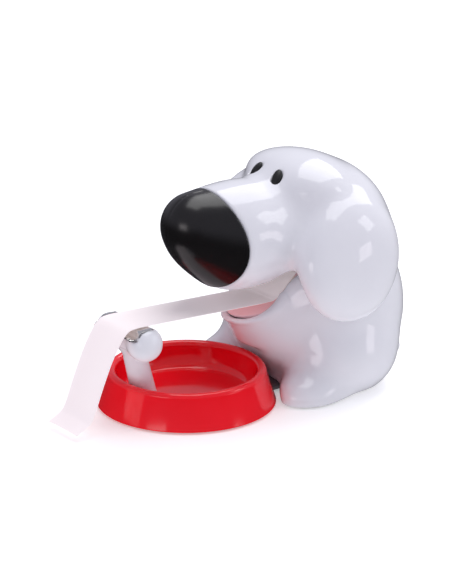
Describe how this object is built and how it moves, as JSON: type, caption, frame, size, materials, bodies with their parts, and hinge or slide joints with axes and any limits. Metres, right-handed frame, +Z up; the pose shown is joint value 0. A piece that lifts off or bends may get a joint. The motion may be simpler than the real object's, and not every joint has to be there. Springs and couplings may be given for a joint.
{
  "type": "tape dispenser",
  "caption": "Desk tape dispenser shaped as a seated dog: hinged head over the tape roll, tape out of the mouth to a toothed blade on a bone in a bowl.",
  "frame": {"origin": "centre of the bounding box at the table surface", "axes": "+X the dog's left, -Y the way the dog looks and the tape is pulled, +Z up"},
  "size_m": [0.0862, 0.1556, 0.0914],
  "materials": {
    "white_shell": "gloss moulded white plastic",
    "black_trim": "polished black plastic",
    "red_bowl": "gloss red plastic",
    "mouth_lining": "satin dusty rose plastic",
    "base_plastic": "fine-grained grey plastic",
    "blade_steel": "bright stamped steel",
    "fastener_steel": "plated steel",
    "ballast_iron": "plain cast iron",
    "pad_rubber": "non-slip rubber",
    "clear_tape": "translucent satin tape film",
    "core_card": "wound card"
  },
  "bodies": {
    "body": {"body_shell": "white_shell", "base_plate": "base_plastic", "bowl": "red_bowl", "bone_stand": "white_shell", "cutter_blade": "blade_steel", "mouth_liner": "mouth_lining", "tape_web": "clear_tape", "roll_cradle": "base_plastic", "ballast_block": "ballast_iron", "hinge_pin": "fastener_steel", "body_screw_1": "fastener_steel", "body_screw_2": "fastener_steel", "body_screw_3": "fastener_steel", "body_screw_4": "fastener_steel", "bowl_screw_1": "fastener_steel", "bowl_screw_2": "fastener_steel", "bowl_screw_3": "fastener_steel", "bone_screw": "fastener_steel", "foot_pad_1": "pad_rubber", "foot_pad_2": "pad_rubber", "foot_pad_3": "pad_rubber", "foot_pad_4": "pad_rubber", "foot_pad_5": "pad_rubber"},
    "head": {"head_shell": "white_shell", "nose_cap": "black_trim", "eye_left": "black_trim", "eye_right": "black_trim"},
    "roll": {"tape_roll": "clear_tape", "tape_core": "core_card", "hub_left": "base_plastic", "hub_right": "base_plastic"}
  },
  "joints": [
    {"name": "head_hinge", "type": "hinge", "parent": "body", "child": "head", "pos_m": [0, 0.06575, 0.0544], "axis": [-1, 0, 0], "range_deg": [0, 60]},
    {"name": "roll_spin", "type": "hinge", "parent": "body", "child": "roll", "pos_m": [0, 0.04625, 0.032], "axis": [1, 0, 0], "continuous": true}
  ]
}
